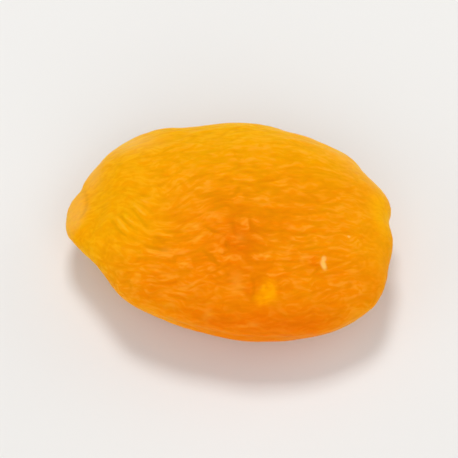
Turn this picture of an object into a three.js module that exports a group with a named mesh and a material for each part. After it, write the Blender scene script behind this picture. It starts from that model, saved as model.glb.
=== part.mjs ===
// One whole dried apricot, pitted and pressed flat, lying on its broad underside.
// Millimetres, +Z up. X runs along the fruit, from the lip at its stem end (-X) to its
// blossom end (+X). The origin is on the surface it lies on, under the middle of the fruit.
import * as THREE from 'three';
import { ImprovedNoise } from 'three/addons/math/ImprovedNoise.js';
import { mergeVertices } from 'three/addons/utils/BufferGeometryUtils.js';

const { degToRad, lerp, smoothstep } = THREE.MathUtils;

// Driving dimensions of the whole fruit
const LENGTH = 44.5;
const WIDTH = 33.0;
const RIM_HEIGHT = 6.9; // height of the widest line round the fruit
const DOME = 8.1; // how far the upper face rises over the widest line
const BELLY = 7.4; // how far the underside would hang below it: what passes the table lies flat

// Plan: an ellipse whose long axis leans from the line between the two ends
const HALF_LENGTH = 21.0;
const HALF_WIDTH = 16.6;
const LEAN = degToRad(-7);

// Where the outline leaves the ellipse: degrees round the fruit from the blossom end, half the
// degrees it takes, how far out or in, how soon it fades towards mid-face, how square its sides
const SWELLINGS = [
  { at: 139, spread: 27, by: 1.7, fade: 2, square: 4 }, // full shoulder behind the stem end
  { at: 157, spread: 6, by: 0.6, fade: 3, square: 2 }, // its corner, above the lip
  { at: 176.5, spread: 12.7, by: 2.4, fade: 12, square: 4 }, // lip of the stem end
  { at: 191, spread: 9, by: 1.15, fade: 3, square: 2 }, // its root, which runs into the front
  { at: 222, spread: 12, by: 0.5, fade: 2, square: 2 }, // full cheek in front of it
  { at: 248, spread: 18, by: -0.35, fade: 2, square: 2 }, // lean front
  { at: 311, spread: 25, by: 1.4, fade: 2, square: 2 }, // full cheek in front of the blossom end
  { at: 321, spread: 11, by: 0.55, fade: 2, square: 2 }, // its blunt corner
  { at: 341, spread: 6, by: -0.35, fade: 2, square: 2 }, // flatter beyond it
  { at: 3, spread: 5, by: -0.8, fade: 10, square: 2 }, // notch of the blossom end
  { at: 13, spread: 9, by: 0.45, fade: 3, square: 2 }, // corner behind it
  { at: 30, spread: 8, by: -0.6, fade: 2, square: 2 }, // flatter beyond it
  { at: 66, spread: 20, by: -0.95, fade: 2, square: 2 }, // lean back
];
const LIP = { at: 176, spread: 15, drop: 0.9, square: 4 }; // the lip lies below the rest of the rim

// Cross-section: higher numbers give a flatter face and a blunter rim
const UPPER_FLATNESS = 2.35;
const UNDER_FLATNESS = 2.15;
const RIM_BLUNTNESS = 2.0;
const EVEN_TRIANGLES = 0.74; // moves points from the rim to the two faces

// Slow sway of the rim: the fruit dried slightly twisted
const RIM_SWAY = 0.75;
const RIM_SWAYS_ROUND = 2;
const RIM_SWAY_PHASE = degToRad(38);

// Hollows left where the stone was pressed out, one in each face
const UPPER_HOLLOW = { x: 2.0, y: -1.0, halfLength: 12, halfWidth: 7.5, depth: 1.0 };
const UNDER_HOLLOW = { x: -9.5, y: 5.0, halfLength: 6, halfWidth: 4, depth: 0.6 };
const HOLLOW_BLUNTNESS = 3;

// Folds: a bent line in plan from one point over a middle one to another
const UPPER_FOLDS = [
  { from: [-15.5, -0.5], over: [-8, -7.6], to: [1.5, -0.8], depth: 0.3, width: 1.1 },
  { from: [-2.5, 4.0], over: [4.4, 1.2], to: [13.0, 2.8], depth: 0.22, width: 1.2 },
  { from: [0.5, -3.6], over: [9.0, -6.4], to: [17.4, -3.6], depth: 0.24, width: 1.2 },
  { from: [-13.5, 7.0], over: [-7.0, 2.0], to: [-0.8, 1.2], depth: 0.22, width: 1.2 },
  { from: [-19.9, 8.0], over: [-19.0, 2.5], to: [-20.2, -3.4], depth: 0.7, width: 1.1 }, // behind the lip
];
const UNDER_FOLDS = [
  { from: [-16.5, 0.5], over: [-6.0, 6.8], to: [5.5, 3.4], depth: 0.8, width: 1.3 },
  { from: [4.0, -6.2], over: [10.5, -2.2], to: [18.6, -5.0], depth: 0.7, width: 1.3 },
  { from: [-14.0, -6.6], over: [-6.0, -9.6], to: [3.0, -8.4], depth: 0.62, width: 1.25 },
  { from: [6.5, 4.4], over: [11.5, 7.4], to: [16.0, 4.0], depth: 0.6, width: 1.25 },
];
const FOLD_POINTS = 40;

// Furrows, of a fold or of the seam: raised lips beside them, and an end that fades out
const FURROW_LIP = 0.4; // height of the lips, as a share of the depth
const FURROW_REACH = 1.6; // how far the lips spread, in squared half widths
const FURROW_TAPER = 0.6; // higher numbers fade out over a longer stretch

// Folds and hollows belong to one face, and fade out at the rim between these heights of the ball
const FACE_STARTS = 0.02;
const FACE_FULL = 0.3;

// Seam: the furrow down one side of the fruit, from the stem end round the front to the blossom end
const SEAM_DEPTH = 0.6;
const SEAM_WIDTH = 1.25;
const SEAM_DROP = 1.0; // below the widest line
const SEAM_SWAY = 0.6;
const SEAM_SWAYS_ROUND = 3;
const SEAM_FROM = degToRad(196);
const SEAM_TO = degToRad(364);
const SEAM_POINTS = 80;

// Broad dents of the drying skin
const DENT = { size: 10, seed: 2.4, depth: 0.45 };

// Wrinkles that run from end to end
const WRINKLE_LENGTH = 9;
const WRINKLES_ACROSS = 4.1; // noise cells in one radian round the long axis
const WRINKLE_SEED = 3.3;
const UPPER_WRINKLE_DEPTH = 0.26;
const UNDER_WRINKLE_DEPTH = 0.5;
const VALLEY_SHARPNESS = 2.6; // how steeply the skin rises out of the bottom of a wrinkle
const WRINKLE_LEVEL = 0.55; // share of a wrinkle's height that lies under the plump form
const WANDER = { size: 6, seed: 7, by: 0.55 }; // how wrinkles stray from a straight line
const STRENGTH = { size: 11, seed: 5, least: 0.65, by: 0.6 }; // some places stay smoother
const FACE_CHANGE = 3; // the two depths blend this far above and below the widest line
const SMOOTH_END = 5; // wrinkles fade out this near the line between the two ends

const FACES_PER_EDGE = 19; // the ball starts with 20 triangles, each cut into (19 + 1) squared

const noise = new ImprovedNoise();
const noiseAt = (point, { size, seed }) =>
  noise.noise(point.x / size + seed, point.y / size, point.z / size);

const angleBetween = (a, b) => Math.atan2(Math.sin(a - b), Math.cos(a - b));

// A soft bump round the fruit, 1 in the middle of the degrees that it takes and near 0 outside
function bump(angle, { at, spread, square }) {
  const share = angleBetween(angle, degToRad(at)) / degToRad(spread);
  return Math.exp(-(share ** square));
}

// The widest line in plan at an angle round the fruit. reach is 1 at the rim and 0 mid-face.
function planPoint(angle, reach) {
  const turned = angle - LEAN;
  const ellipse = new THREE.Vector2(HALF_LENGTH * Math.cos(turned), HALF_WIDTH * Math.sin(turned));
  ellipse.rotateAround(new THREE.Vector2(), LEAN);
  const outwards = ellipse.clone().normalize();
  const point = ellipse.multiplyScalar(reach);
  for (const swelling of SWELLINGS) {
    const { by, fade } = swelling;
    point.addScaledVector(outwards, by * bump(angle, swelling) * reach ** fade);
  }
  return point;
}

function rimHeight(angle) {
  const sway = RIM_SWAY * Math.sin(RIM_SWAYS_ROUND * angle + RIM_SWAY_PHASE);
  return RIM_HEIGHT + sway - LIP.drop * bump(angle, LIP);
}

// The plump form without its skin, for a direction on the unit ball
function bodyPoint(direction) {
  const angle = Math.atan2(direction.y, direction.x);
  const upper = direction.z > 0;
  const lift = Math.abs(direction.z) ** EVEN_TRIANGLES;
  const flatness = upper ? UPPER_FLATNESS : UNDER_FLATNESS;
  const reach = Math.max(0, 1 - lift ** RIM_BLUNTNESS) ** (1 / flatness);
  const plan = planPoint(angle, reach);
  const level = lerp(RIM_HEIGHT, rimHeight(angle), reach ** 2);
  return new THREE.Vector3(plan.x, plan.y, level + (upper ? DOME * lift : -BELLY * lift));
}

// The way the skin faces: that of the ellipsoid through the point
function outward(point) {
  const half = point.z > RIM_HEIGHT ? DOME : BELLY;
  return new THREE.Vector3(
    point.x / HALF_LENGTH ** 2,
    point.y / HALF_WIDTH ** 2,
    (point.z - RIM_HEIGHT) / half ** 2,
  ).normalize();
}

// How far a furrow along a line of points lowers or lifts the skin at a point
function furrow(point, { line, depth, width }) {
  const distances = line.map((p) => p.distanceTo(point));
  const distance = Math.min(...distances);
  const along = distances.indexOf(distance) / (line.length - 1);
  const taper = Math.sin(Math.PI * along) ** FURROW_TAPER;
  const share = distance / width;
  return -depth * taper * (1 - FURROW_LIP * share ** 2) * Math.exp(-(share ** 2) / FURROW_REACH);
}

function foldLine({ from, over, to }) {
  const curve = new THREE.QuadraticBezierCurve(
    new THREE.Vector2(...from),
    new THREE.Vector2(...over),
    new THREE.Vector2(...to),
  );
  return curve.getPoints(FOLD_POINTS);
}

function seamLine() {
  const points = [];
  for (let i = 0; i <= SEAM_POINTS; i++) {
    const angle = lerp(SEAM_FROM, SEAM_TO, i / SEAM_POINTS);
    const plan = planPoint(angle, 1);
    const sway = SEAM_SWAY * Math.sin(SEAM_SWAYS_ROUND * angle);
    points.push(new THREE.Vector3(plan.x, plan.y, rimHeight(angle) - SEAM_DROP + sway));
  }
  return points;
}

const upperFolds = UPPER_FOLDS.map((fold) => ({ ...fold, line: foldLine(fold) }));
const underFolds = UNDER_FOLDS.map((fold) => ({ ...fold, line: foldLine(fold) }));
const seam = { line: seamLine(), depth: SEAM_DEPTH, width: SEAM_WIDTH };

function hollow(point, { x, y, halfLength, halfWidth, depth }) {
  const away = Math.hypot((point.x - x) / halfLength, (point.y - y) / halfWidth);
  return -depth * Math.exp(-(away ** HOLLOW_BLUNTNESS));
}

// Wrinkles follow the fruit from end to end. Their pattern is read on a cylinder round the long
// axis, so that they close in on each other towards both ends.
function wrinkles(point) {
  const round = new THREE.Vector2(point.y / HALF_WIDTH, (point.z - RIM_HEIGHT) / DOME);
  const fade = smoothstep(round.length() * HALF_WIDTH, 0, SMOOTH_END);
  round.normalize().multiplyScalar(WRINKLES_ACROSS);
  const wander = WANDER.by * noiseAt(point, WANDER);
  const along = point.x / WRINKLE_LENGTH;
  const ridge = Math.abs(noise.noise(along + wander, round.x + wander, round.y + WRINKLE_SEED));
  const strength = STRENGTH.least + STRENGTH.by * noiseAt(point, STRENGTH);
  const toUpper = smoothstep(point.z, RIM_HEIGHT - FACE_CHANGE, RIM_HEIGHT + FACE_CHANGE);
  const depth = lerp(UNDER_WRINKLE_DEPTH, UPPER_WRINKLE_DEPTH, toUpper);
  return depth * fade * strength * (Math.min(1, ridge * VALLEY_SHARPNESS) - WRINKLE_LEVEL);
}

function skinPoint(direction) {
  const point = bodyPoint(direction);
  const plan = new THREE.Vector2(point.x, point.y);
  const upper = direction.z > 0;
  const face = smoothstep(Math.abs(direction.z), FACE_STARTS, FACE_FULL);
  let rise = DENT.depth * noiseAt(point, DENT) + wrinkles(point);
  rise += furrow(point, seam);
  rise += face * hollow(point, upper ? UPPER_HOLLOW : UNDER_HOLLOW);
  for (const fold of upper ? upperFolds : underFolds) {
    rise += face * furrow(plan, fold);
  }
  point.addScaledVector(outward(point), rise);
  point.z = Math.max(0, point.z);
  return point;
}

// The fruit: a ball of even triangles, each corner moved to its place on the skin
function apricotGeometry() {
  const ball = new THREE.IcosahedronGeometry(1, FACES_PER_EDGE);
  ball.deleteAttribute('normal');
  ball.deleteAttribute('uv');
  const geometry = mergeVertices(ball);
  const corners = geometry.getAttribute('position');
  const direction = new THREE.Vector3();
  for (let i = 0; i < corners.count; i++) {
    const { x, y, z } = skinPoint(direction.fromBufferAttribute(corners, i).normalize());
    corners.setXYZ(i, x, y, z);
  }
  geometry.computeBoundingBox();
  const size = geometry.boundingBox.getSize(new THREE.Vector3());
  const middle = geometry.boundingBox.getCenter(new THREE.Vector3());
  geometry.translate(-middle.x, -middle.y, 0);
  geometry.scale(LENGTH / size.x, WIDTH / size.y, 1);
  geometry.computeVertexNormals();
  return geometry;
}

const driedFlesh = new THREE.MeshStandardMaterial({ color: 0xf6960f, roughness: 0.45, metalness: 0 });

const apricot = new THREE.Mesh(apricotGeometry(), driedFlesh);
apricot.name = 'dried_apricot';

const part = new THREE.Group();
part.add(apricot);

export default part;
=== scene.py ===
# %% [markdown]
# # A dried apricot, pitted and pressed flat
#
# The real fruit is one soft body. Its skin has shrunk onto the flesh, so it is plump along
# the rim, slightly hollow where the stone was pressed out, and covered in fine wrinkles that
# run from the stem end to the blossom end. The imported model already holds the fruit's size
# and main shape. This script keeps both, and adds the skin: real wrinkles in the mesh, and a
# finish that lets light into the flesh.

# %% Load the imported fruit
import math

import bpy
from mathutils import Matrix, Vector


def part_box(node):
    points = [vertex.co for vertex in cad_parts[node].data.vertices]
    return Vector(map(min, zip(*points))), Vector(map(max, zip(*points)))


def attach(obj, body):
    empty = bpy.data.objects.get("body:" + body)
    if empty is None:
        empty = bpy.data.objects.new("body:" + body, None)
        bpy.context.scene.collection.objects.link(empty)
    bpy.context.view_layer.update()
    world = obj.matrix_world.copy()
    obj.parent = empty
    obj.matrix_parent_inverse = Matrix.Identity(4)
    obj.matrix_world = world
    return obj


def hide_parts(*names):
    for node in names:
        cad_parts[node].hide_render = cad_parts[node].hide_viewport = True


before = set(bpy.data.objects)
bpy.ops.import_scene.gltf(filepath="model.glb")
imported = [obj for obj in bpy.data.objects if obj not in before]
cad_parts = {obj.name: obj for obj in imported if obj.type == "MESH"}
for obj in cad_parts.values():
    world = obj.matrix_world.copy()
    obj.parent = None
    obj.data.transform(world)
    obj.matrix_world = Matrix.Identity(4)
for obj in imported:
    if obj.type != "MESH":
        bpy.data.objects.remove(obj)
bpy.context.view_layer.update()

NODE = "dried_apricot"
low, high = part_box(NODE)
size = high - low
middle = (low + high) / 2

# %% [markdown]
# All sizes below are real ones. Blender works in metres here, and the skin's details are far
# smaller than that, so they are written in millimetres and multiplied by MM. Places are
# measured from the spot that the fruit lies on: x runs from the stem end to the blossom end,
# y from front to back, and z up.

# %% Units
MM = 0.001


def in_metres(numbers):
    """A place or an offset that is written in mm."""
    return Vector([number * MM for number in numbers])


print("fruit, in mm:", [round(side / MM, 1) for side in size])

# %% [markdown]
# ## The ball that the fruit is shaped from
#
# A fruit closes on itself all round, so the mesh starts as a closed form. A UV sphere would
# pinch at its two poles, and wrinkles would show it. A cube pulled into a ball has only eight
# quiet corners, and its faces are all four-sided, which a subdivision needs. The fruit is long
# and flat, so the cube gets more cuts along its length than through its thickness, and the
# squares come out nearly equal on the finished skin.

# %% Select in code what a hand would click on
NEARLY_STRAIGHT = 0.9


def only(thing):
    """Make one object the selected and active one."""
    bpy.ops.object.select_all(action="DESELECT")
    thing.select_set(True)
    bpy.context.view_layer.objects.active = thing


def select_edges_along(thing, axis):
    """Select the edges that run along one axis, as the edit mode sees them."""
    bpy.ops.mesh.select_all(action="DESELECT")
    bpy.ops.object.mode_set(mode="OBJECT")
    points = thing.data.vertices
    for edge in thing.data.edges:
        start, end = (points[i].co for i in edge.vertices)
        direction = (end - start).normalized()
        edge.select = abs(direction[axis]) > NEARLY_STRAIGHT
    bpy.ops.object.mode_set(mode="EDIT")


# %% Cut a cube as with three sets of loop cuts, and pull it into a ball
CUTS_ALONG = 43
CUTS_ACROSS = 32
CUTS_THROUGH = 20

bpy.ops.object.select_all(action="DESELECT")
bpy.ops.mesh.primitive_cube_add(size=1, location=(0, 0, 0))
skin = bpy.context.object
skin.name = skin.data.name = "apricot_skin"

bpy.ops.object.mode_set(mode="EDIT")
bpy.ops.mesh.select_mode(type="EDGE")
for axis, cuts in enumerate((CUTS_ALONG, CUTS_ACROSS, CUTS_THROUGH)):
    select_edges_along(skin, axis)
    bpy.ops.mesh.subdivide(number_cuts=cuts)
bpy.ops.mesh.select_all(action="SELECT")
bpy.ops.transform.tosphere(value=1)
bpy.ops.object.mode_set(mode="OBJECT")
print("ball:", len(skin.data.polygons), "faces,", [round(d, 3) for d in skin.dimensions])

# %% [markdown]
# ## From ball to fruit
#
# In edit mode the ball is squashed to the fruit's three sizes and lifted to its place. Two
# places are then pulled by hand, with proportional editing as a soft brush: the lip at the
# stem end, which needs some squares of its own, and the flat underside.

# %% Take hold of a place, and push it
def select_points_near(thing, place, reach):
    """Select the points of a mesh within reach of a place, and return how many there are."""
    bpy.ops.mesh.select_all(action="DESELECT")
    bpy.ops.object.mode_set(mode="OBJECT")
    found = 0
    for point in thing.data.vertices:
        point.select = (point.co - Vector(place)).length < reach
        found += point.select
    bpy.ops.object.mode_set(mode="EDIT")
    return found


def push(offset, reach):
    """Move the selected points, with their surroundings following more softly."""
    bpy.ops.transform.translate(
        value=offset,
        use_proportional_edit=True,
        proportional_edit_falloff="SMOOTH",
        proportional_size=reach,
    )


# %% Squash the ball, pull out the lip and flatten the underside
LIP_END = 2 * MM
LIP_LENGTH = 2.0 * MM
LIP_REACH = 6 * MM
FLAT_REACH = 5 * MM

bottom = Vector((middle.x, middle.y, low.z))
scale = [side / wide for side, wide in zip(size, skin.dimensions)]

bpy.ops.object.mode_set(mode="EDIT")
bpy.ops.mesh.select_mode(type="VERT")
bpy.ops.mesh.select_all(action="SELECT")
bpy.ops.transform.resize(value=scale)
bpy.ops.transform.translate(value=middle)
print("points on the lip:", select_points_near(skin, (low.x, middle.y, middle.z), LIP_END))
push((-LIP_LENGTH, 0, 0), LIP_REACH)
print("points underneath:", select_points_near(skin, bottom, FLAT_REACH))
bpy.ops.transform.resize(value=(1, 1, 0), center_override=bottom)
bpy.ops.object.mode_set(mode="OBJECT")

# %% [markdown]
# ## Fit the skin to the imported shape
#
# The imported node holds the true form, but as loose flat triangles of about a millimetre, which
# would show as facets and are too large for a wrinkle. So a copy of it is merged into one
# surface and becomes a guide. The Shrinkwrap modifier lays the ball on the guide as a wet cloth
# is laid on a stone, and the Smooth modifier between two wraps evens out the squares. The guide
# is deleted afterwards, and the node itself isn't touched.

# %% Make the guide from a merged copy of the node
MERGE_DISTANCE = 0.001 * MM

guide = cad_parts[NODE].copy()
guide.data = guide.data.copy()
guide.name = guide.data.name = "guide"
guide.parent = None
bpy.context.scene.collection.objects.link(guide)
only(guide)
bpy.ops.object.mode_set(mode="EDIT")
bpy.ops.mesh.select_all(action="SELECT")
bpy.ops.mesh.remove_doubles(threshold=MERGE_DISTANCE)
bpy.ops.object.mode_set(mode="OBJECT")
print("guide:", len(guide.data.vertices), "points")

# %% Wrap, relax, wrap again
ROUNDS = 3
RELAX_STEPS = 30
HALFWAY = 0.5


def finish_with(thing, kind, **settings):
    """Add a modifier, set it up and apply it."""
    modifier = thing.modifiers.new(kind, kind)
    for name, value in settings.items():
        setattr(modifier, name, value)
    only(thing)
    bpy.ops.object.modifier_apply(modifier=modifier.name)


finish_with(skin, "SHRINKWRAP", target=guide, wrap_method="NEAREST_SURFACEPOINT")
for _ in range(ROUNDS):
    finish_with(skin, "SMOOTH", factor=HALFWAY, iterations=RELAX_STEPS)
    finish_with(skin, "SHRINKWRAP", target=guide, wrap_method="NEAREST_SURFACEPOINT")
bpy.data.objects.remove(guide)
print("wrapped, in mm:", [round(side / MM, 1) for side in skin.dimensions])

# %% [markdown]
# ## Soften the hollow and the front rim
#
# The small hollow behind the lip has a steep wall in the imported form. On the fruit that wall is
# a soft slope. Smoothing the whole skin would wear its folds away too, so only the squares there
# are smoothed, as with a round brush. The seam under the front rim has an upper edge that soft
# skin wouldn't keep, so the same brush goes along the rim for a single step.

# %% Smooth with a round brush
BEHIND_LIP = [(-16.8, 2.0, 8.0), (-15.8, 7.2, 8.5)]
SLOPE_REACH = 3.6 * MM
SLOPE_STEPS = 12
FRONT_RIM = [
    (-15, -9, 6),
    (-10, -12.5, 6),
    (-5, -14.5, 6),
    (0, -15.5, 6),
    (5, -16, 6),
    (10, -15, 6),
    (15, -12.5, 6),
]
RIM_REACH = 3.2 * MM
RIM_STEPS = 1


def smooth_near(thing, places, reach, steps):
    """Smooth a mesh round each place, and return how many points were reached in all."""
    reached = 0
    for place in places:
        reached += select_points_near(thing, in_metres(place), reach)
        bpy.ops.mesh.vertices_smooth(factor=HALFWAY, repeat=steps)
    return reached


bpy.ops.object.mode_set(mode="EDIT")
print("points behind the lip:", smooth_near(skin, BEHIND_LIP, SLOPE_REACH, SLOPE_STEPS))
print("points on the rim:", smooth_near(skin, FRONT_RIM, RIM_REACH, RIM_STEPS))

# %% [markdown]
# ## Shape the lip's end
#
# The lip is the fruit's most telling detail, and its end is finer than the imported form's
# triangles. Three small pulls with the soft brush lean it back, fill its far side and deepen
# the notch beside it, each by less than a millimetre. Two levels of subdivision then make the
# squares small enough to hold a wrinkle.

# %% Pull the lip, and subdivide
PULLED_END = 1.5 * MM
LIP_PULLS = [
    {"from": (-21.8, 0.0, 5.0), "offset": (-0.1, 0.9, 0.0), "reach": 3.0},
    {"from": (-21.2, 4.2, 6.0), "offset": (-0.25, 0.1, 0.0), "reach": 2.0},
    {"from": (-18.6, 7.6, 6.5), "offset": (-0.3, -0.7, 0.0), "reach": 2.0},
]
SUBDIVISIONS = 2

for pull in LIP_PULLS:
    found = select_points_near(skin, in_metres(pull["from"]), PULLED_END)
    push(in_metres(pull["offset"]), pull["reach"] * MM)
    print("points pulled at the lip:", found)
bpy.ops.object.mode_set(mode="OBJECT")
finish_with(skin, "SUBSURF", levels=SUBDIVISIONS, render_levels=SUBDIVISIONS)
bpy.ops.object.shade_smooth()
print("skin:", len(skin.data.polygons), "faces")

# %% [markdown]
# ## Folds drawn one by one
#
# The imported form has the broad folds. The eye also looks for sharper ones: the short slanting
# creases beside the stem end with the fine ridges between them, and the knot in the middle of
# the face with the broader welts that run from it. They could be sculpted, but a path is quick
# to redraw. So each fold is a path of five points, seen from above, in mm, with its strength
# first. A strength of 1 is the full depth of its kind. The node tree below lays the paths on
# the skin, and measures how far each point of the skin is from them.

# %% The creases
CREASES = [
    # between the lip and the body
    (0.6, [(-19.9, 5.6), (-19.1, 4.2), (-18.9, 2.6), (-19.3, 1.2), (-20.5, 0.0)]),
    # slanting ones beside the stem end
    (0.5, [(-11.8, 1.7), (-11.5, 1.6), (-11.2, 1.5), (-10.8, 1.4), (-10.4, 1.2)]),
    (0.6, [(-12.3, 0.8), (-11.8, 0.3), (-11.3, -0.2), (-10.7, -0.8), (-10.0, -1.6)]),
    (0.8, [(-13.6, 1.0), (-13.0, -0.1), (-12.4, -1.1), (-11.6, -2.2), (-10.6, -3.7)]),
    (0.6, [(-14.1, 0.0), (-13.6, -0.9), (-13.1, -1.7), (-12.5, -2.4), (-11.8, -2.9)]),
    (0.8, [(-14.9, -0.4), (-14.3, -1.4), (-13.5, -2.4), (-12.7, -3.3), (-11.9, -4.0)]),
    (0.6, [(-15.9, -0.9), (-15.5, -1.8), (-15.0, -2.8), (-14.3, -3.7), (-13.5, -4.4)]),
    # in front of them
    (0.6, [(-10.0, -4.6), (-9.6, -4.9), (-9.2, -5.3), (-8.8, -5.7), (-8.3, -5.9)]),
    (0.9, [(-11.6, -6.0), (-10.4, -6.2), (-9.4, -6.5), (-8.4, -6.9), (-7.3, -7.2)]),
    (0.6, [(-12.9, -8.2), (-12.4, -7.7), (-11.9, -7.5), (-11.3, -7.6), (-10.5, -7.9)]),
    # the knot
    (0.8, [(-3.5, -3.7), (-3.7, -4.5), (-4.3, -5.2), (-5.0, -5.7), (-5.8, -6.0)]),
    (0.8, [(-3.5, -3.2), (-2.7, -3.8), (-1.9, -4.4), (-1.1, -4.6), (-0.3, -4.9)]),
    (0.6, [(-1.9, -2.7), (-1.6, -2.9), (-1.2, -3.0), (-0.9, -3.0), (-0.6, -2.9)]),
    (1.0, [(-3.6, -7.1), (-3.0, -7.4), (-2.4, -7.9), (-1.8, -8.6), (-1.2, -9.3)]),
    (1.0, [(-0.4, -5.4), (-0.3, -5.8), (-0.2, -6.2), (-0.1, -6.6), (0.1, -7.0)]),
    (0.7, [(-3.1, -1.2), (-2.3, -1.1), (-1.5, -0.8), (-0.8, -0.4), (-0.2, 0.0)]),
    (0.8, [(0.1, 1.0), (0.6, 1.1), (1.0, 1.4), (1.3, 2.0), (1.4, 2.7)]),
    (0.5, [(0.4, -2.4), (0.5, -3.0), (0.6, -3.5), (0.6, -4.0), (0.7, -4.4)]),
    (0.8, [(2.5, -1.8), (2.8, -2.5), (3.0, -3.2), (3.1, -3.9), (3.1, -4.6)]),
    # in front of the middle
    (0.8, [(3.4, -8.7), (4.0, -8.4), (4.7, -8.4), (5.3, -8.5), (5.9, -8.7)]),
    (0.5, [(2.8, -10.3), (3.2, -11.1), (3.4, -12.0), (3.3, -12.9), (2.8, -13.7)]),
]

# %% The fine ridges
RIDGES = [
    # beside the slanting creases
    (0.8, [(-12.0, 1.2), (-11.5, 0.7), (-11.0, 0.3), (-10.6, 0.0), (-10.1, -0.3)]),
    (0.8, [(-13.1, 0.6), (-12.5, 0.1), (-11.8, -0.7), (-11.3, -1.4), (-10.7, -1.9)]),
    (0.9, [(-13.9, -1.0), (-13.5, -1.5), (-13.1, -2.1), (-12.6, -2.6), (-12.0, -3.0)]),
    (0.9, [(-15.1, -1.0), (-14.6, -1.8), (-14.1, -2.7), (-13.6, -3.4), (-13.0, -4.0)]),
    (0.6, [(-12.1, -4.6), (-11.6, -4.8), (-11.1, -5.1), (-10.6, -5.4), (-10.0, -5.6)]),
    (0.7, [(-9.8, -3.4), (-9.2, -4.0), (-8.7, -4.6), (-8.1, -5.1), (-7.2, -5.2)]),
    (1.2, [(-11.6, -6.5), (-10.4, -6.9), (-9.4, -7.2), (-8.4, -7.5), (-7.3, -7.9)]),
]

# %% The broad welts
WELTS = [
    # the knot
    (0.9, [(-8.2, -7.2), (-7.4, -7.1), (-6.6, -7.0), (-5.8, -6.8), (-5.0, -6.4)]),
    (1.2, [(-6.4, -6.9), (-5.2, -6.4), (-4.1, -5.7), (-3.3, -4.8), (-2.8, -3.8)]),
    (0.7, [(-5.5, -4.3), (-5.0, -4.1), (-4.5, -3.8), (-4.0, -3.5), (-3.6, -3.3)]),
    (0.9, [(-3.6, -2.2), (-2.3, -1.7), (-1.0, -1.9), (-0.6, -2.8), (-1.2, -3.7)]),
    (0.8, [(-1.3, -6.0), (-1.4, -6.5), (-1.4, -7.0), (-1.2, -7.4), (-0.8, -7.6)]),
    (1.0, [(-2.0, -8.0), (-1.2, -7.9), (-0.3, -8.0), (0.7, -8.2), (1.6, -8.4)]),
    (0.9, [(-7.0, -8.6), (-6.4, -8.7), (-5.8, -8.8), (-5.3, -8.8), (-4.8, -8.7)]),
    (0.6, [(0.4, 0.5), (0.8, 0.6), (1.2, 0.7), (1.6, 1.0), (1.8, 1.5)]),
    (0.9, [(1.9, -2.2), (2.0, -2.8), (2.1, -3.3), (2.3, -3.7), (2.7, -4.1)]),
    # in front of the middle
    (1.0, [(3.1, -8.2), (3.7, -7.9), (4.4, -7.8), (5.1, -7.9), (5.8, -8.3)]),
    (0.9, [(5.0, -10.4), (5.5, -10.2), (6.0, -9.9), (6.6, -9.5), (7.2, -9.2)]),
    (0.7, [(-4.8, -9.6), (-4.1, -10.2), (-3.4, -10.8), (-2.7, -11.3), (-1.9, -11.7)]),
    (1.0, [(0.3, -15.8), (1.6, -15.9), (2.8, -15.8), (3.8, -15.7), (4.7, -15.6)]),
    (0.6, [(14.3, -14.4), (15.3, -13.9), (16.4, -13.3), (17.3, -12.8), (18.2, -12.1)]),
    # in front of the stem end
    (0.8, [(-15.3, -4.4), (-14.4, -5.3), (-13.6, -6.3), (-12.9, -7.1), (-12.1, -7.7)]),
    (0.6, [(-13.0, -9.7), (-12.3, -10.1), (-11.6, -10.5), (-11.0, -10.9), (-10.3, -11.3)]),
    (0.4, [(-8.8, -12.3), (-8.4, -12.4), (-8.1, -12.7), (-7.7, -12.8), (-7.4, -12.9)]),
]


# %% Draw them as paths
def draw(name, folds):
    """Draw each fold as a path, with its strength as the path's radius, and join them all."""
    bpy.ops.object.select_all(action="DESELECT")
    paths = []
    for strength, places in folds:
        bpy.ops.curve.primitive_nurbs_path_add()
        path = bpy.context.object
        for point, (x, y) in zip(path.data.splines[0].points, places):
            point.co = (x * MM, y * MM, 0, 1)
            point.radius = strength
        paths.append(path)
    for path in paths:
        path.select_set(True)
    bpy.ops.object.join()
    drawing = bpy.context.object
    drawing.name = name
    print(name + ":", len(drawing.data.splines), "paths")
    return drawing


crease_lines = draw("crease_lines", CREASES)
ridge_lines = draw("ridge_lines", RIDGES)
welt_lines = draw("welt_lines", WELTS)

# %% [markdown]
# ## Real wrinkles
#
# The skin of a dried fruit is too large for the flesh that is left, so it also gathers in fine
# wrinkles. They run along the fruit and wander, fade out on the plump rim, and lie closer
# together at the two ends. Where a noise that is stretched along the fruit passes through its
# middle value there is a line, and each such line becomes a crease. Geometry Nodes can read
# that noise, the drawn paths and the shape together, which a Displace modifier can't.
#
# A node tree takes many lines in code, so it starts with small helpers. Materials are node
# trees too, so the finish is made with the same ones.

# %% Numbers and places in a node tree
def add_node(tree, kind, inputs=None, **settings):
    """Add a node, set it up, and join its inputs to sockets or give them values."""
    new = tree.nodes.new(kind)
    for name, value in settings.items():
        setattr(new, name, value)
    for key, value in (inputs or {}).items():
        if isinstance(value, bpy.types.NodeSocket):
            tree.links.new(value, new.inputs[key])
        else:
            new.inputs[key].default_value = value
    return new


def number_math(tree, operation, *values, clamp=False):
    """One step of arithmetic on numbers."""
    inputs = dict(enumerate(values))
    return add_node(tree, "ShaderNodeMath", inputs, operation=operation, use_clamp=clamp).outputs[0]


def place_math(tree, operation, *values):
    """One step of arithmetic on places or colours."""
    inputs = dict(enumerate(values))
    return add_node(tree, "ShaderNodeVectorMath", inputs, operation=operation).outputs[0]


def product(tree, first, *others):
    """Several numbers multiplied together."""
    for other in others:
        first = number_math(tree, "MULTIPLY", first, other)
    return first


def scaled(tree, place, factor):
    """A place, a direction or a colour, times a number."""
    inputs = {0: place, "Scale": factor}
    return add_node(tree, "ShaderNodeVectorMath", inputs, operation="SCALE").outputs[0]


def length_of(tree, direction):
    """How long a direction is."""
    inputs = {0: direction}
    return add_node(tree, "ShaderNodeVectorMath", inputs, operation="LENGTH").outputs["Value"]


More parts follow.
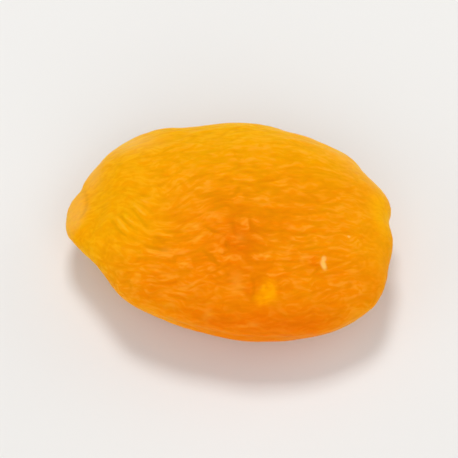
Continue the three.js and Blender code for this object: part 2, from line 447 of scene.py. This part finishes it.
def parts_of(tree, place):
    """The x, the y and the height of a place."""
    return add_node(tree, "ShaderNodeSeparateXYZ", {0: place}).outputs


# %% A bell, a ramp, a round area and a noise
def bell(tree, share):
    """1 where share is 0, falling softly to nearly 0 where it is 2 or -2."""
    square = product(tree, share, share)
    return number_math(tree, "POWER", math.e, product(tree, square, -1.0))


def ramp_between(tree, value, start, end, low_value=0.0, high_value=1.0):
    """A soft step from low_value at start to high_value at end."""
    inputs = {0: value, 1: start, 2: end, 3: low_value, 4: high_value}
    return add_node(tree, "ShaderNodeMapRange", inputs, interpolation_type="SMOOTHSTEP").outputs[0]


def near(tree, place, centre, reach):
    """1 at a centre seen from above, falling softly to 0 beyond its reach along and across."""
    away = place_math(tree, "SUBTRACT", place, (*centre, 0))
    share = place_math(tree, "DIVIDE", away, (*reach, 1))
    flat = place_math(tree, "MULTIPLY", share, (1, 1, 0))
    return bell(tree, length_of(tree, flat))


def noise_at(tree, place, detail=0.0):
    """A noise node with cells one unit wide: its number and its colour."""
    inputs = {"Vector": place, "Scale": 1.0, "Detail": detail, "Roughness": 0.5}
    return add_node(tree, "ShaderNodeTexNoise", inputs).outputs


# %% [markdown]
# ### Lines that run along the fruit
#
# Three changes turn plain noise into gathered skin. A swirl turns it where the wrinkles curl
# round a fold, a slow noise makes it wander, and a stretch draws its round cells out along the
# fruit and packs them together towards both ends, where the real skin has least room.

# %% Curl, wander and stretch
SWIRLS = [
    {"centre": (-12.5, -0.5), "reach": 5.0, "degrees": 45},
    {"centre": (-3.0, -3.5), "reach": 4.5, "degrees": -30},
]
HALF_LENGTH = 22.0
GATHER = 0.35
MIDDLE_VALUE = 0.5


def swirled(tree, place, centre, reach, degrees):
    """Turn the pattern round a centre, and less and less away from it, so that lines curl."""
    angle = product(tree, near(tree, place, centre, (reach, reach)), math.radians(degrees))
    inputs = {"Vector": place, "Center": (*centre, 0), "Angle": angle}
    return add_node(tree, "ShaderNodeVectorRotate", inputs, rotation_type="Z_AXIS").outputs[0]


def curled(tree, place):
    """A place with all the swirls in it."""
    for swirl in SWIRLS:
        place = swirled(tree, place, **swirl)
    return place


def wandering(tree, place, size, amount, seed):
    """Shift a place by a slow noise, so that lines read from it wander."""
    cells = scaled(tree, place_math(tree, "ADD", place, (seed, seed, seed)), 1 / size)
    drift = place_math(tree, "SUBTRACT", noise_at(tree, cells)[1], (MIDDLE_VALUE,) * 3)
    return place_math(tree, "ADD", place, scaled(tree, drift, amount))


def stretched(tree, place, length, spacing, seed):
    """Cells that are length long and spacing wide, and gather towards both ends."""
    x, y, height = parts_of(tree, place)
    share = number_math(tree, "DIVIDE", x, HALF_LENGTH)
    spread = number_math(tree, "MULTIPLY_ADD", product(tree, share, share), GATHER, 1.0)
    along = number_math(tree, "MULTIPLY_ADD", x, 1 / length, seed)
    across = product(tree, number_math(tree, "DIVIDE", y, spacing), spread)
    up = number_math(tree, "DIVIDE", height, spacing)
    return add_node(tree, "ShaderNodeCombineXYZ", {0: along, 1: across, 2: up}).outputs[0]


def lengthwise(tree, place, kind):
    """The cells of one kind of line, wandering and stretched as its values say."""
    wander_size, wander_amount = kind["wander"]
    strayed = wandering(tree, place, wander_size, wander_amount, kind["seed"])
    return stretched(tree, strayed, kind["length"], kind["spacing"], kind["seed"])


# %% [markdown]
# ### Three sizes of wrinkle
#
# The real skin has broad, long and fine wrinkles on top of each other, so the depths of three
# sets are added up. They are weaker where the drawn folds lie, which would drown in them.

# %% Fine wrinkles from noise
WRINKLES = {
    "broad": {
        "length": 8.0, "spacing": 2.2, "wander": (5.0, 2.6), "seed": 3.1,
        "depth": 0.045, "sharpness": 8,
    },
    "long": {
        "length": 4.2, "spacing": 1.1, "wander": (3.2, 1.6), "seed": 11.7,
        "depth": 0.055, "sharpness": 7,
    },
    "fine": {
        "length": 2.4, "spacing": 0.6, "wander": (1.8, 1.0), "seed": 27.3,
        "depth": 0.04, "sharpness": 6,
    },
}
QUIET = [
    {"centre": (-12.5, -1.0), "reach": (4.5, 3.0)},
    {"centre": (-2.5, -3.8), "reach": (3.5, 3.0)},
]
QUIET_LOSS = 0.5


def creases(tree, cells, sharpness):
    """1 on the lines where a noise passes its middle value, falling softly to 0 beside them."""
    away = number_math(tree, "SUBTRACT", noise_at(tree, cells)[0], MIDDLE_VALUE)
    return bell(tree, product(tree, away, sharpness))


def gathered_depth(tree, place):
    """How deep the fine wrinkles press the skin in at a place, in mm."""
    place = curled(tree, place)
    total = 0.0
    for kind in WRINKLES.values():
        lines = creases(tree, lengthwise(tree, place, kind), kind["sharpness"])
        total = number_math(tree, "ADD", total, product(tree, lines, kind["depth"]))
    return total


def quietness(tree, place):
    """1 where the fine wrinkles have their full strength, and less where the drawn folds lie."""
    total = 1.0
    for area in QUIET:
        left = number_math(tree, "MULTIPLY_ADD", near(tree, place, **area), -QUIET_LOSS, 1.0)
        total = product(tree, total, left)
    return total


# %% [markdown]
# ### The drawn folds, pressed in
#
# A drawn path lies on the floor under the fruit. It is cut into short, even steps, gets weaker
# towards its two ends, and is dropped from above onto the skin. Each point of the skin then
# finds the nearest step and sinks, or rises for a ridge, the more the nearer it is.

# %% Lay a drawing on the skin, and measure from it
DRAWN = {
    "crease": {"lines": crease_lines, "width": 0.28, "depth": 0.10},
    "ridge": {"lines": ridge_lines, "width": 0.34, "depth": -0.11},
    "welt": {"lines": welt_lines, "width": 0.6, "depth": -0.10},
}
STEPS_PER_WIDTH = 4
TAPER = 0.5
DROP_FROM = 50 * MM


def tapered_steps(tree, lines, step):
    """A drawing as points one step apart, with their strength fading out at both ends."""
    drawing = add_node(tree, "GeometryNodeObjectInfo", {"Object": lines}).outputs["Geometry"]
    inputs = {"Curve": drawing, "Length": step}
    even = add_node(tree, "GeometryNodeResampleCurve", inputs, mode="LENGTH").outputs[0]
    share = tree.nodes.new("GeometryNodeSplineParameter").outputs["Factor"]
    arch = number_math(tree, "SINE", product(tree, share, math.pi))
    radius = tree.nodes.new("GeometryNodeInputRadius").outputs[0]
    strength = product(tree, number_math(tree, "POWER", arch, TAPER), radius)
    inputs = {"Geometry": even, "Name": "strength", "Value": strength}
    faded = add_node(tree, "GeometryNodeStoreNamedAttribute", inputs).outputs[0]
    return add_node(tree, "GeometryNodeCurveToMesh", {0: faded}).outputs[0]


def dropped_on(tree, steps, skin_shape, position):
    """The steps of a drawing, dropped straight down onto the skin."""
    above = place_math(tree, "ADD", position, (0, 0, DROP_FROM))
    inputs = {"Target Geometry": skin_shape, "Source Position": above, "Ray Direction": (0, 0, -1)}
    landing = add_node(tree, "GeometryNodeRaycast", inputs).outputs["Hit Position"]
    inputs = {"Geometry": steps, "Position": landing}
    return add_node(tree, "GeometryNodeSetPosition", inputs).outputs[0]


def drawn_depth(tree, skin_shape, position, lines, width, depth):
    """How deep the drawn lines press the skin in at a position, in mm."""
    steps = tapered_steps(tree, lines, width / STEPS_PER_WIDTH * MM)
    line = dropped_on(tree, steps, skin_shape, position)
    nearest = add_node(tree, "GeometryNodeSampleNearest", {0: line, 1: position}).outputs[0]
    inputs = {"Geometry": line, "Value": position, "Index": nearest}
    line_place = add_node(tree, "GeometryNodeSampleIndex", inputs, data_type="FLOAT_VECTOR").outputs[0]
    named = add_node(tree, "GeometryNodeInputNamedAttribute", {"Name": "strength"}).outputs[0]
    inputs = {"Geometry": line, "Value": named, "Index": nearest}
    strength = add_node(tree, "GeometryNodeSampleIndex", inputs).outputs[0]
    away = length_of(tree, place_math(tree, "SUBTRACT", position, line_place))
    profile = bell(tree, number_math(tree, "DIVIDE", away, width * MM))
    return product(tree, profile, strength, depth)


# %% [markdown]
# ### All of them together
#
# The plump rim is pulled tight, so the fine wrinkles keep only part of their strength there,
# and none where the fruit touches the floor. The summed depth moves each point along its
# normal. It is also kept on the mesh, because the finish paints shade into the creases with it.

# %% Press every wrinkle into the mesh
FACE = {"centre": (1.0, -2.0), "reach": (17.0, 11.5)}
RIM_SHARE = 0.45
OFF_THE_FLOOR = {"start": 0.1, "end": 1.5}


def wrinkle_tree():
    """A Geometry Nodes tree that presses the wrinkles in, and keeps their depth for the finish."""
    tree = bpy.data.node_groups.new("wrinkles", "GeometryNodeTree")
    tree.interface.new_socket("Geometry", in_out="INPUT", socket_type="NodeSocketGeometry")
    tree.interface.new_socket("Geometry", in_out="OUTPUT", socket_type="NodeSocketGeometry")
    shape = tree.nodes.new("NodeGroupInput").outputs[0]
    position = tree.nodes.new("GeometryNodeInputPosition").outputs[0]
    normal = tree.nodes.new("GeometryNodeInputNormal").outputs[0]
    place = scaled(tree, position, 1 / MM)

    on_face = near(tree, place, **FACE)
    strength = number_math(tree, "MULTIPLY_ADD", on_face, 1 - RIM_SHARE, RIM_SHARE)
    raised = ramp_between(tree, parts_of(tree, place)[2], **OFF_THE_FLOOR)
    strength = product(tree, strength, quietness(tree, place), raised)
    depth = product(tree, gathered_depth(tree, place), strength)
    for kind in DRAWN.values():
        depth = number_math(tree, "ADD", depth, drawn_depth(tree, shape, position, **kind))

    inputs = {"Geometry": shape, "Name": "crease_depth", "Value": depth}
    stored = add_node(tree, "GeometryNodeStoreNamedAttribute", inputs).outputs[0]
    offset = scaled(tree, normal, product(tree, depth, -MM))
    moved = add_node(tree, "GeometryNodeSetPosition", {"Geometry": stored, "Offset": offset})
    end = tree.nodes.new("NodeGroupOutput")
    tree.links.new(moved.outputs[0], end.inputs[0])
    return tree


finish_with(skin, "NODES", node_group=wrinkle_tree())
for kind in DRAWN.values():
    bpy.data.objects.remove(kind["lines"])
depths = [value.value for value in skin.data.attributes["crease_depth"].data]
print("wrinkle depth in mm:", round(min(depths), 3), "to", round(max(depths), 3))

# %% [markdown]
# ## The finish
#
# Dried apricot is a soft amber flesh that light goes into and comes out of again, so the
# finish scatters light under the surface. Red travels furthest in it, then green, and blue is
# swallowed at once, which keeps the colour deep even where it is bright. The colour could be
# painted on, but it follows the fruit's own form. So it is laid on in layers that read the
# place on the skin: the ground, the pale edges, the folds, the streaks and last the spots.
# Some of these layers are painted light and shade: light on the back and the stem end, shade
# on the front edge, in the creases and beside a crumb, rim light on the back edge, highlights
# on the ridges and sheen on the streaks.

# %% Colours, and laying one over another
YELLOW = (0.90, 0.385, 0.001, 1)
ORANGE = (0.87, 0.265, 0.001, 1)
DEEP_TONE_AND_SHADE = (0.83, 0.172, 0.001, 1)
BLOOM_AND_RIM_LIGHT = (0.95, 0.515, 0.13, 1)
RIDGE_HIGHLIGHT = (0.96, 0.51, 0.05, 1)
PALE_TONE_AND_SHEEN = (0.95, 0.42, 0.04, 1)
GOLD_SHEEN = (0.95, 0.475, 0.012, 1)
HONEY = (0.97, 0.42, 0.001, 1)
CRUMB = (0.95, 0.56, 0.13, 1)


def mixed(tree, share, first, second):
    """Mix two colours: share 0 gives the first and 1 the second."""
    node = add_node(tree, "ShaderNodeMix", {0: share}, data_type="RGBA")
    for key, colour in ((6, first), (7, second)):
        if isinstance(colour, bpy.types.NodeSocket):
            tree.links.new(colour, node.inputs[key])
        else:
            node.inputs[key].default_value = colour
    return node.outputs[2]


def tinted(tree, colour, tint, *shares):
    """A colour with a tint over it, as strong as all the shares multiplied together."""
    return mixed(tree, product(tree, *shares), colour, tint)


# %% [markdown]
# ### The ground
#
# The flesh is more yellow at the stem end, along the back and a little at the blossom end, and
# more orange in the middle. The yellow at the stem end and along the back is partly painted
# light, where the light from above and behind falls, and the red of the front edge is painted
# shade. A few round areas are redder as well, and one of them is the painted shadow beside the
# larger crumb. Each ramp runs along one axis, and a slow noise keeps their meeting lines from
# looking ruled.

# %% Yellow, orange and red
# The yellow ramps are partly painted light, and the front edge ramp is painted shade.
STEM_END = {"start": -2.0, "end": -15.0}
BACK = {"start": -5.0, "end": 11.0}
BLOSSOM_END = {"start": 2.0, "end": 19.0, "high_value": 0.55}
LESS_IN_FRONT = {"start": -12.0, "end": -3.0, "low_value": 0.15}
SHADED_FRONT_EDGE = {"start": -12.5, "end": -16.5, "high_value": 0.8}
CLOUDS = {"size": 6, "strength": 0.5, "shift": -0.2}
BLUSH_AND_CRUMB_SHADOW = [
    {"centre": (0.9, -5.6), "reach": (3.0, 4.0), "share": 0.5},
    {"centre": (2.6, -12.0), "reach": (0.7, 1.3), "share": 0.35},
    {"centre": (-9.5, -10.5), "reach": (3.5, 2.5), "share": 0.2},
    # painted shadow beside the larger crumb
    {"centre": (11.2, -8.1), "reach": (0.9, 1.0), "share": 0.35},
]


def yellow_tone_and_light(tree, place):
    """How yellow the flesh is at a place, from 0 to 1, partly painted light on the back and stem end.
    """
    x, y, _ = parts_of(tree, place)
    stem_end = ramp_between(tree, x, **STEM_END)
    back = ramp_between(tree, y, **BACK)
    both = product(tree, stem_end, back)
    either = number_math(tree, "SUBTRACT", number_math(tree, "ADD", stem_end, back), both)
    yellow = number_math(tree, "MAXIMUM", either, ramp_between(tree, x, **BLOSSOM_END))
    return product(tree, yellow, ramp_between(tree, y, **LESS_IN_FRONT))


def ground_colour(tree, place, yellow):
    """The colour of the flesh under all the rest, with painted shade on the front edge."""
    clouds = noise_at(tree, scaled(tree, place, 1 / CLOUDS["size"]), detail=2)[0]
    uneven = number_math(tree, "MULTIPLY_ADD", clouds, CLOUDS["strength"], CLOUDS["shift"])
    share = number_math(tree, "ADD", yellow, uneven, clamp=True)
    colour = mixed(tree, share, ORANGE, YELLOW)
    y = parts_of(tree, place)[1]
    # painted shade along the front edge, which faces away from the light
    colour = tinted(tree, colour, DEEP_TONE_AND_SHADE, ramp_between(tree, y, **SHADED_FRONT_EDGE))
    for area in BLUSH_AND_CRUMB_SHADOW:
        inside = near(tree, place, area["centre"], area["reach"])
        colour = tinted(tree, colour, DEEP_TONE_AND_SHADE, inside, area["share"])
    return colour


# %% [markdown]
# ### The pale lip and the lit back edge
#
# On the lip the skin has dried paler than the flesh, with a painted glow where its thin edge is
# lit from behind. Along the back edge the pale is painted rim light. Each pale place is an oval
# seen from above. A smooth oval would look sprayed on, so its border is frayed by the wandering
# noise, and it fades out towards the underside.

# %% Bloom on the lip and painted rim light on the back edge
FRAY = {"size": 1.2, "amount": 0.8, "seed": 5.0}
UPPER_SIDE = {"start": 1.0, "end": 6.0, "low_value": 0.1, "high_value": 0.45}
LIP = {"centre": (-21.6, 2.3), "reach": (2.6, 3.9)}
LIP_EDGE = {"start": 0.2, "end": 0.7, "high_value": 0.75}
RIM_LIT_EDGES = [
    {"centre": (-18.6, 8.2), "reach": (1.3, 3.0), "share": 1.0},
    {"centre": (-14.0, 11.6), "reach": (3.5, 1.8), "share": 1.0},
    {"centre": (8.6, 13.4), "reach": (2.2, 1.6), "share": 0.5},
    {"centre": (11.8, 12.0), "reach": (2.0, 1.7), "share": 0.6},
    {"centre": (14.9, 10.2), "reach": (2.0, 1.8), "share": 0.6},
    {"centre": (17.8, 8.2), "reach": (1.9, 2.0), "share": 0.6},
    {"centre": (20.3, 5.6), "reach": (1.6, 2.0), "share": 0.6},
]


def with_bloom_and_rim_light(tree, colour, place, frayed):
    """A colour with the pale lip and the painted rim light of the back edge over it."""
    upper = ramp_between(tree, parts_of(tree, place)[2], **UPPER_SIDE)
    # the lip's paler skin, with a painted glow on its thin edge
    on_lip = ramp_between(tree, near(tree, frayed, **LIP), **LIP_EDGE)
    colour = tinted(tree, colour, BLOOM_AND_RIM_LIGHT, on_lip, upper)
    # painted rim light along the back edge
    for edge in RIM_LIT_EDGES:
        inside = near(tree, frayed, edge["centre"], edge["reach"])
        colour = tinted(tree, colour, BLOOM_AND_RIM_LIGHT, inside, edge["share"], upper)
    return colour


# %% [markdown]
# ### The folds
#
# Each crease gets painted shade, and each ridge a painted highlight. The light alone would
# hardly show folds this shallow in flesh that glows. So the colour follows the depth in mm
# that the wrinkles left on the mesh, and always fits the shape.

# %% Painted shade in the creases and painted highlights on the ridges
# painted shade in the creases and a painted highlight on the ridges, by depth in mm
SHADE = 0.75
IN_CREASE = {"start": 0.02, "end": 0.14, "high_value": 0.55}
ON_RIDGE = {"start": 0.0, "end": -0.08, "high_value": 0.42}


def with_painted_fold_shade(tree, colour, pressed):
    """A colour with painted shade in the creases and a painted highlight on the ridges."""
    shaded = scaled(tree, colour, SHADE)
    colour = tinted(tree, colour, shaded, ramp_between(tree, pressed, **IN_CREASE))
    return tinted(tree, colour, RIDGE_HIGHLIGHT, ramp_between(tree, pressed, **ON_RIDGE))


# %% [markdown]
# ### The streaks of painted sheen
#
# Between the wrinkles the skin gets fine pale streaks of painted sheen, golden where the flesh
# is yellow, and the flesh between two streaks is darker and redder. The streaks run as the
# wrinkles do, so they are read from a fourth stretched noise of the same kind. They stay out of
# the creases and are fewer in front and at the blossom end.

# %% Painted sheen streaks on redder flesh
STREAKS = {"length": 1.7, "spacing": 0.55, "wander": (2.0, 1.6), "seed": 19.0}
ON_STREAK = {"start": 0.42, "end": 0.68, "high_value": 0.46}
BETWEEN_STREAKS = {"start": 0.5, "end": 0.34, "high_value": 0.5}
REDDER = (0.96, 0.88, 0.8)
BACK_EDGE = {"start": 8.0, "end": 13.0}
FEWER_IN_FRONT = {"start": -15.5, "end": -11.0, "low_value": 0.3}
FEWER_AT_BLOSSOM_END = {"start": 20.0, "end": 15.5, "low_value": 0.35}
OUT_OF_CREASES = {"start": 0.09, "end": 0.02}


def streak_pattern(tree, place):
    """The noise that the streaks are read from: high on a streak, and low between two."""
    return noise_at(tree, lengthwise(tree, curled(tree, place), STREAKS), detail=1)[0]


def with_sheen_streaks(tree, colour, place, pattern, pressed, yellow):
    """A colour with the redder flesh and the painted sheen streaks over it."""
    x, y, _ = parts_of(tree, place)
    redder = place_math(tree, "MULTIPLY", colour, REDDER)
    colour = tinted(tree, colour, redder, ramp_between(tree, pattern, **BETWEEN_STREAKS))

    stem_end = ramp_between(tree, x, **STEM_END)
    golden = number_math(tree, "MAXIMUM", stem_end, ramp_between(tree, y, **BACK_EDGE))
    golden = number_math(tree, "MINIMUM", golden, yellow)
    # painted sheen on the streaks, golden where the flesh is yellow
    light = mixed(tree, golden, PALE_TONE_AND_SHEEN, GOLD_SHEEN)
    return tinted(
        tree, colour, light,
        ramp_between(tree, pattern, **ON_STREAK),
        quietness(tree, place),
        ramp_between(tree, y, **FEWER_IN_FRONT),
        ramp_between(tree, x, **FEWER_AT_BLOSSOM_END),
        ramp_between(tree, pressed, **OUT_OF_CREASES),
    )


# %% [markdown]
# ### Spots and crumbs
#
# The marks that make this fruit itself are a yellow spot in front, a yellow patch at the
# blossom end, a few pale patches, and two pale crumbs of dry skin. Spots and patches are frayed
# like the bloom, and the yellow ones are mottled by the streaks. A crumb has a crisper, torn
# edge. The larger crumb is bent, so it is made of two short ones, each turned by a swirl.

# %% Yellow spots, pale patches and crumbs
UPPER_FACE = {"start": 5.0, "end": 8.0}
MOTTLE = {"start": 0.36, "end": 0.6, "low_value": 0.65}
SPOT_EDGE = {"start": 0.15, "end": 0.8}
HONEY_SPOTS = [
    {"centre": (5.3, -12.2), "reach": (1.1, 1.6), "share": 0.8},
    {"centre": (4.5, -13.1), "reach": (1.3, 1.0), "share": 0.6},
    {"centre": (20.4, 0.7), "reach": (1.6, 3.6), "share": 0.7},
]
PATCH_SHARE = 0.3
PALE_PATCHES = [
    {"centre": (0.9, -11.4), "reach": (0.8, 1.3)},
    {"centre": (-8.4, -7.2), "reach": (0.9, 0.5)},
    {"centre": (-2.8, -14.5), "reach": (0.5, 0.6)},
    {"centre": (1.4, -5.1), "reach": (0.6, 0.5)},
    {"centre": (9.7, -8.0), "reach": (0.3, 0.7)},
]
TORN = {"size": 0.8, "amount": 0.3, "seed": 5.0}
TURN_REACH = 3.0
CRUMB_EDGE = {"start": 0.15, "end": 0.9}
CRUMBS = [
    {"centre": (12.4, -7.85), "reach": (0.38, 0.52), "turn": 20, "share": 0.7},
    {"centre": (12.4, -8.6), "reach": (0.4, 0.74), "turn": -28, "share": 0.9},
    {"centre": (15.8, -4.3), "reach": (0.26, 0.2), "turn": 0, "share": 0.6},
]


def with_spots(tree, colour, place, frayed, pattern):
    """A colour with the yellow spots, the pale patches and the crumbs over it."""
    above = ramp_between(tree, parts_of(tree, place)[2], **UPPER_FACE)
    mottled = product(tree, above, ramp_between(tree, pattern, **MOTTLE))
    for spot in HONEY_SPOTS:
        inside = near(tree, frayed, spot["centre"], spot["reach"])
        share = ramp_between(tree, inside, **SPOT_EDGE, high_value=spot["share"])
        colour = tinted(tree, colour, HONEY, share, mottled)
    for patch in PALE_PATCHES:
        inside = near(tree, frayed, **patch)
        colour = tinted(tree, colour, PALE_TONE_AND_SHEEN, inside, above, PATCH_SHARE)
    torn = wandering(tree, place, **TORN)
    for crumb in CRUMBS:
        turned = swirled(tree, torn, crumb["centre"], TURN_REACH, crumb["turn"])
        inside = near(tree, turned, crumb["centre"], crumb["reach"])
        share = ramp_between(tree, inside, **CRUMB_EDGE, high_value=crumb["share"])
        colour = tinted(tree, colour, CRUMB, share, above)
    return colour


# %% All the layers, from the ground up
def flesh_colour(tree, place):
    """The colour of the skin at a place in mm."""
    frayed = wandering(tree, place, **FRAY)
    yellow = yellow_tone_and_light(tree, place)
    pattern = streak_pattern(tree, place)
    pressed = add_node(tree, "ShaderNodeAttribute", attribute_name="crease_depth").outputs["Fac"]
    colour = ground_colour(tree, place, yellow)
    colour = with_bloom_and_rim_light(tree, colour, place, frayed)
    colour = with_painted_fold_shade(tree, colour, pressed)
    colour = with_sheen_streaks(tree, colour, place, pattern, pressed, yellow)
    return with_spots(tree, colour, place, frayed, pattern)


# %% [markdown]
# ### The finest relief
#
# The finest wrinkles and the pores are smaller than the squares of the mesh, so they are left
# to a Bump node. It reads a height and tilts the light without moving the surface.

# %% Finest wrinkles and pores
FINEST = {"length": 1.4, "spacing": 0.42, "wander": (1.5, 0.5), "seed": 41.2, "depth": 0.04}
PORES = {"size": 0.22, "depth": 0.004}


def fine_relief(tree, place):
    """The height of the finest wrinkles and of the pores, in metres."""
    cells = lengthwise(tree, curled(tree, place), FINEST)
    wrinkle = product(tree, noise_at(tree, cells, detail=1)[0], FINEST["depth"])
    pore = noise_at(tree, scaled(tree, place, 1 / PORES["size"]), detail=1)[0]
    height = number_math(tree, "MULTIPLY_ADD", pore, PORES["depth"], wrinkle)
    return product(tree, height, MM)


# %% [markdown]
# ### The flesh
#
# A skin like this is satin at most: it reflects little, and what it reflects is warm. A plain
# glossy surface would turn white along the rim and look like plastic, so the reflection is
# weak and tinted, and nearly all of the light goes through the subsurface part.

# %% Light in the flesh
SCATTER_DEPTH = 0.8 * MM
FLESH = {
    "Subsurface Weight": 1.0,
    "Subsurface Radius": (1.0, 0.45, 0.15),
    "Subsurface Scale": SCATTER_DEPTH,
    "Roughness": 0.4,
    "IOR": 1.25,
    "Specular IOR Level": 0.05,
    "Specular Tint": (1.0, 0.6, 0.05, 1),
}


def dried_flesh():
    """The material of the whole fruit."""
    material = bpy.data.materials.new("dried_flesh")
    material.use_nodes = True
    tree = material.node_tree
    shader = tree.nodes["Principled BSDF"]
    position = tree.nodes.new("ShaderNodeTexCoord").outputs["Object"]
    place = scaled(tree, position, 1 / MM)
    tree.links.new(flesh_colour(tree, place), shader.inputs["Base Color"])
    relief = {"Height": fine_relief(tree, place), "Distance": 1.0, "Strength": 1.0}
    bump = add_node(tree, "ShaderNodeBump", relief).outputs[0]
    tree.links.new(bump, shader.inputs["Normal"])
    shader.subsurface_method = "RANDOM_WALK"
    for name, value in FLESH.items():
        shader.inputs[name].default_value = value
    return material


skin.data.materials.clear()
skin.data.materials.append(dried_flesh())
print("finish:", len(skin.active_material.node_tree.nodes), "nodes")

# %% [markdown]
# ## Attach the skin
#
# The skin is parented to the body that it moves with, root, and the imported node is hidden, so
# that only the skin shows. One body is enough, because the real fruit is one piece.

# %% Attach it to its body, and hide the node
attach(skin, "root")
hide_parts(NODE)

# %% [markdown]
# ## Floor, light and camera
#
# The fruit lies on pale, dull paper. A coloured or glossy floor would tint the flesh from
# below, and paper only catches a soft shadow. It lies a hair below the fruit, so that the two
# surfaces don't flicker through each other.

# %% A pale floor
FLOOR_SIZE = 2.0
FLOOR_GAP = 0.02 * MM
PAPER = (0.80, 0.79, 0.77, 1)
PAPER_ROUGHNESS = 0.9

bpy.ops.object.select_all(action="DESELECT")
bpy.ops.mesh.primitive_plane_add(size=FLOOR_SIZE, location=(0, 0, -FLOOR_GAP))
floor = bpy.context.object
floor.name = "floor"
paper = bpy.data.materials.new("pale_paper")
paper.use_nodes = True
paper.node_tree.nodes["Principled BSDF"].inputs["Base Color"].default_value = PAPER
paper.node_tree.nodes["Principled BSDF"].inputs["Roughness"].default_value = PAPER_ROUGHNESS
floor.data.materials.append(paper)
print("floor:", FLOOR_SIZE, "m wide,", round(FLOOR_GAP / MM, 2), "mm below the fruit")

# %% [markdown]
# The fruit is lit as by daylight in a bright room, with no hard shadow. A white world gives
# that, but alone it leaves every fold flat. So four soft boxes add direction: a key from above
# and behind that models the folds, a wide fill from the front, and two weak ones at the sides.

# %% Soft studio light
SKY = (1, 1, 1, 1)
SKY_STRENGTH = 0.43

world = bpy.data.worlds.new("studio")
world.use_nodes = True
world.node_tree.nodes["Background"].inputs["Color"].default_value = SKY
world.node_tree.nodes["Background"].inputs["Strength"].default_value = SKY_STRENGTH
bpy.context.scene.world = world


def soft_box(name, direction, distance, side, power):
    """A square area light that looks at the fruit from a direction."""
    away = Vector(direction).normalized() * distance
    bpy.ops.object.light_add(type="AREA", location=middle + away)
    light = bpy.context.object
    light.name = name
    light.data.shape = "SQUARE"
    light.data.size = side
    light.data.energy = power
    light.rotation_euler = (-away).to_track_quat("-Z", "Y").to_euler()
    print("light:", name, power, "W from", [round(part, 2) for part in light.location])


soft_box("key", direction=(-0.05, 0.4, 0.8), distance=0.5, side=0.14, power=1.1)
soft_box("fill", direction=(0.1, -0.7, 0.45), distance=0.6, side=0.7, power=1.9)
soft_box("left", direction=(-0.8, -0.35, 0.35), distance=0.6, side=0.4, power=0.5)
soft_box("right", direction=(0.8, 0.35, 0.35), distance=0.6, side=0.4, power=0.5)

# %% [markdown]
# The camera looks down at about 60 degrees, as the photograph seems to. A long lens from
# further away keeps the small fruit's proportions, where a short one would swell its near side.
# The view is left untoned, so that the colours come out as they are mixed above.

# %% The camera
LENS = 180
ELEVATION = math.radians(60)
DISTANCE = 0.309
CLIP_START = 0.01

bpy.ops.object.camera_add()
camera = bpy.context.object
back = Vector((0, -math.cos(ELEVATION), math.sin(ELEVATION)))
camera.location = middle + back * DISTANCE
camera.rotation_euler = (-back).to_track_quat("-Z", "Y").to_euler()
camera.data.lens = LENS
camera.data.clip_start = CLIP_START
bpy.context.scene.camera = camera
bpy.context.scene.view_settings.view_transform = "Standard"
print("camera:", round((camera.location - middle).length, 3), "m from the fruit")
